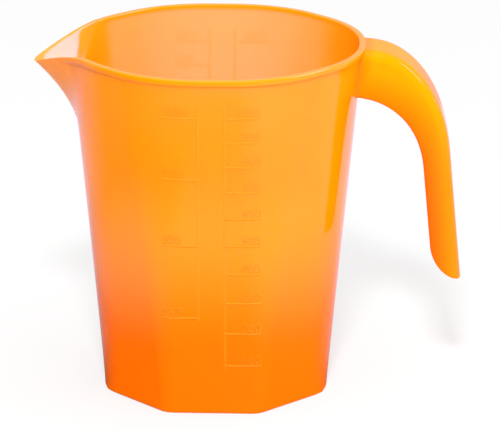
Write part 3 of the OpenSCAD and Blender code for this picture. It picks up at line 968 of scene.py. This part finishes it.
class JugStage(bpy.types.Operator):
    """Adds the floor, the light and the camera"""

    bl_idname = "jug.stage"
    bl_label = "Stage"

    def mirrored_floor(self, tree, where):
        """What the gloss mirrors of the floor: dark round the foot as painted shade, dark at the left, pale
        behind the jug.
        """
        x, y = [add_node(tree, "SeparateXYZ", {"Vector": where}, axis) for axis in "XY"]
        flattened = add_node(tree, "VectorMath", {0: where, 1: (1, 0.75, 1)}, operation="MULTIPLY")
        away = add_node(tree, "VectorMath", {0: flattened}, "Value", operation="LENGTH")
        slanted = add_node(tree, "VectorMath", {0: where, 1: (0.55, 1, 0)}, "Value", operation="DOT_PRODUCT")
        aside = add_node(tree, "Math", {0: x}, operation="ABSOLUTE")
        rearward = add_node(tree, "Math", {0: aside, 1: -0.1, 2: y}, operation="MULTIPLY_ADD")
        grades = {}
        for name, value, start, end, least, most in (
            ("left", x, -0.28, -0.16, 0.05, 0.75),
            ("front", slanted, -0.32, -0.18, 0.1, 1),
            ("behind", rearward, -0.12, 0.22, 0, 1),
            ("right", x, -0.1, 0.12, 1, 1.25),
            ("far", y, 0.45, 0.6, 1, 0.2),
            # Painted shade: the mirrored floor is dark round the foot, for the shade that the jug casts
            # round itself.
            ("foot", away, 0.076, 0.16, 0, 1),
            ("rear", y, -0.03, 0.03, 0, 1),
        ):
            span = {"Value": value, "From Min": start, "From Max": end, "To Min": least, "To Max": most}
            grades[name] = add_node(tree, "MapRange", span, interpolation_type="SMOOTHSTEP")
        for name, operation, first, second in (
            ("before", "MULTIPLY", "left", "front"),
            ("before", "MULTIPLY", "before", "foot"),
            ("clear", "MAXIMUM", "foot", "rear"),
            ("after", "MULTIPLY", "behind", "right"),
            ("after", "MULTIPLY", "after", "far"),
            ("after", "MULTIPLY", "after", "clear"),
            ("pale", "MAXIMUM", "before", "after"),
        ):
            pair = {0: grades[first], 1: grades[second]}
            grades[name] = add_node(tree, "Math", pair, operation=operation)
        tint = bpy.context.scene.jug_colours.floor_mirrored
        tones = {0: grades["behind"], 6: (1, 1, 1, 1), 7: (*tint, 1)}
        hue = add_node(tree, "Mix", tones, 2, data_type="RGBA")
        return add_node(tree, "Emission", {"Color": hue, "Strength": grades["pale"]})

    def floor(self, context):
        """A white floor. The camera sees it lit up to white, so that only shadows show on it."""
        c, stage = context.scene.jug_colours, context.scene.jug_stage
        pick()
        bpy.ops.mesh.primitive_plane_add(size=stage.floor_size)
        floor = context.object
        floor.name = "studio_floor"
        material, tree = new_material("white_studio_floor")
        where = add_node(tree, "TexCoord", output="Object")
        mirrored = self.mirrored_floor(tree, where)
        x = add_node(tree, "SeparateXYZ", {"Vector": where}, "X")
        span = {"Value": x, "From Min": -0.12, "From Max": 0.08}
        across = add_node(tree, "MapRange", span, interpolation_type="SMOOTHSTEP")
        tones = {0: across, 6: (*c.floor_dark, 1), 7: (*c.floor, 1)}
        bounce = add_node(tree, "Mix", tones, 2, data_type="RGBA")
        paper = add_node(tree, "BsdfDiffuse", {"Color": bounce})
        shade = add_node(tree, "BsdfDiffuse", {"Color": (*c.floor_shade, 1)})
        white = add_node(tree, "Emission", {"Color": (1, 1, 1, 1), "Strength": stage.floor_white})
        shown = add_node(tree, "AddShader", {0: shade, 1: white})
        camera_ray = add_node(tree, "LightPath", output="Is Camera Ray")
        glossy_ray = add_node(tree, "LightPath", output="Is Glossy Ray")
        seen = add_node(tree, "MixShader", {0: camera_ray, 1: paper, 2: shown})
        whole = add_node(tree, "MixShader", {0: glossy_ray, 1: seen, 2: mirrored})
        add_node(tree, "OutputMaterial", {"Surface": whole})
        floor.data.materials.append(material)

    def world(self, context):
        """White for the camera, most light from one side, and for the gloss a room, darker in front."""
        stage = context.scene.jug_stage
        world = bpy.data.worlds.new("white_studio")
        context.scene.world = world
        world.use_nodes = True
        tree = world.node_tree
        tree.nodes.clear()
        way = add_node(tree, "TexCoord", output="Generated")
        depth = add_node(tree, "SeparateXYZ", {"Vector": way}, "Y")
        room = {"Value": depth, "From Min": -0.75, "From Max": 1.0, "To Min": 0.1, "To Max": 0.65}
        mirrored = add_node(tree, "MapRange", room, interpolation_type="SMOOTHSTEP")
        side = Vector(stage.light_from).normalized()
        towards = add_node(tree, "VectorMath", {0: way, 1: side}, "Value", operation="DOT_PRODUCT")
        span = {"Value": towards, "From Min": -1.0, "To Min": stage.light_least, "To Max": stage.light_most}
        lit = add_node(tree, "MapRange", span)
        skies = [
            add_node(tree, "Background", {"Color": (1, 1, 1, 1), "Strength": strength})
            for strength in (lit, mirrored, 1.0)
        ]
        camera_ray = add_node(tree, "LightPath", output="Is Camera Ray")
        glossy_ray = add_node(tree, "LightPath", output="Is Glossy Ray")
        unseen = add_node(tree, "MixShader", {0: glossy_ray, 1: skies[0], 2: skies[1]})
        whole = add_node(tree, "MixShader", {0: camera_ray, 1: unseen, 2: skies[2]})
        add_node(tree, "OutputWorld", {"Surface": whole})

    def lamp(self, context, name, place, aim, size, power):
        bpy.ops.object.light_add(type="AREA", location=place)
        lamp = context.object
        lamp.name = name
        lamp.data.size = size
        lamp.data.energy = power
        lamp.rotation_euler = (Vector(aim) - Vector(place)).to_track_quat("-Z", "Y").to_euler()
        return lamp

    def lamps(self, context):
        """The lamp that casts the shadow, and the cards that only the gloss sees."""
        stage = context.scene.jug_stage
        key = self.lamp(
            context, "key_light", stage.key_place, stage.key_aim, stage.key_size, stage.key_power
        )
        key.visible_glossy = False
        for name, place, size, share in (
            ("spout_card", stage.spout_card, stage.spout_card_size, 1),
            ("crease_card", stage.crease_card, stage.crease_card_size, 1),
            ("sky_card", stage.sky_card, stage.sky_card_size, stage.sky_card_share),
        ):
            power = share * stage.card_power * size ** 2
            card = self.lamp(context, name, place, stage.card_aim, size, power)
            card.data.color = context.scene.jug_colours.card
            card.visible_diffuse = False
            card.visible_transmission = False

    def camera(self, context):
        stage = context.scene.jug_stage
        aim = Vector((0, 0, stage.aim))
        turn, rise = math.radians(stage.turn), math.radians(stage.rise)
        back = Vector((
            math.sin(turn) * math.cos(rise), -math.cos(turn) * math.cos(rise), math.sin(rise)
        ))
        bpy.ops.object.camera_add(location=aim + back * stage.distance)
        camera = context.object
        camera.rotation_euler = (-back).to_track_quat("-Z", "Y").to_euler()
        camera.data.sensor_width = stage.sensor
        camera.data.lens = stage.lens
        camera.data.shift_x = stage.shift_x
        camera.data.shift_y = stage.shift_y
        context.scene.camera = camera

    def execute(self, context):
        self.floor(context)
        self.world(context)
        self.lamps(context)
        self.camera(context)
        context.scene.view_settings.view_transform = "Standard"
        return {"FINISHED"}


class JugPanel(bpy.types.Panel):
    """Lists the jug's pieces, with the sizes and colours behind them"""

    bl_idname = "VIEW3D_PT_jug"
    bl_label = "Measuring jug"
    bl_space_type = "VIEW_3D"
    bl_region_type = "UI"
    bl_category = "Jug"

    def draw(self, context):
        for operator in OPERATORS:
            self.layout.operator(operator.bl_idname)
        for name, group in GROUPS.items():
            box = self.layout.box()
            for key in group.__annotations__:
                box.prop(getattr(context.scene, name), key)


OPERATORS = [JugStage, JugBody, JugHandle, JugScale]
GROUPS = {
    "jug_sizes": JugSizes,
    "jug_thick": ThickPlaces,
    "jug_handle": HandleSizes,
    "jug_scale": ScaleSizes,
    "jug_colours": JugColours,
    "jug_plastic": PlasticLook,
    "jug_stage": StageSettings,
}
CLASSES = [*GROUPS.values(), *OPERATORS, JugPanel]


def register():
    for cls in CLASSES:
        bpy.utils.register_class(cls)
    for name, group in GROUPS.items():
        setattr(bpy.types.Scene, name, PointerProperty(type=group))


def unregister():
    for name in GROUPS:
        delattr(bpy.types.Scene, name)
    for cls in reversed(CLASSES):
        bpy.utils.unregister_class(cls)


def main():
    register()
    bpy.ops.jug.stage()
    bpy.ops.jug.body()
    bpy.ops.jug.handle()
    bpy.ops.jug.scale()


if __name__ == "__main__":
    main()
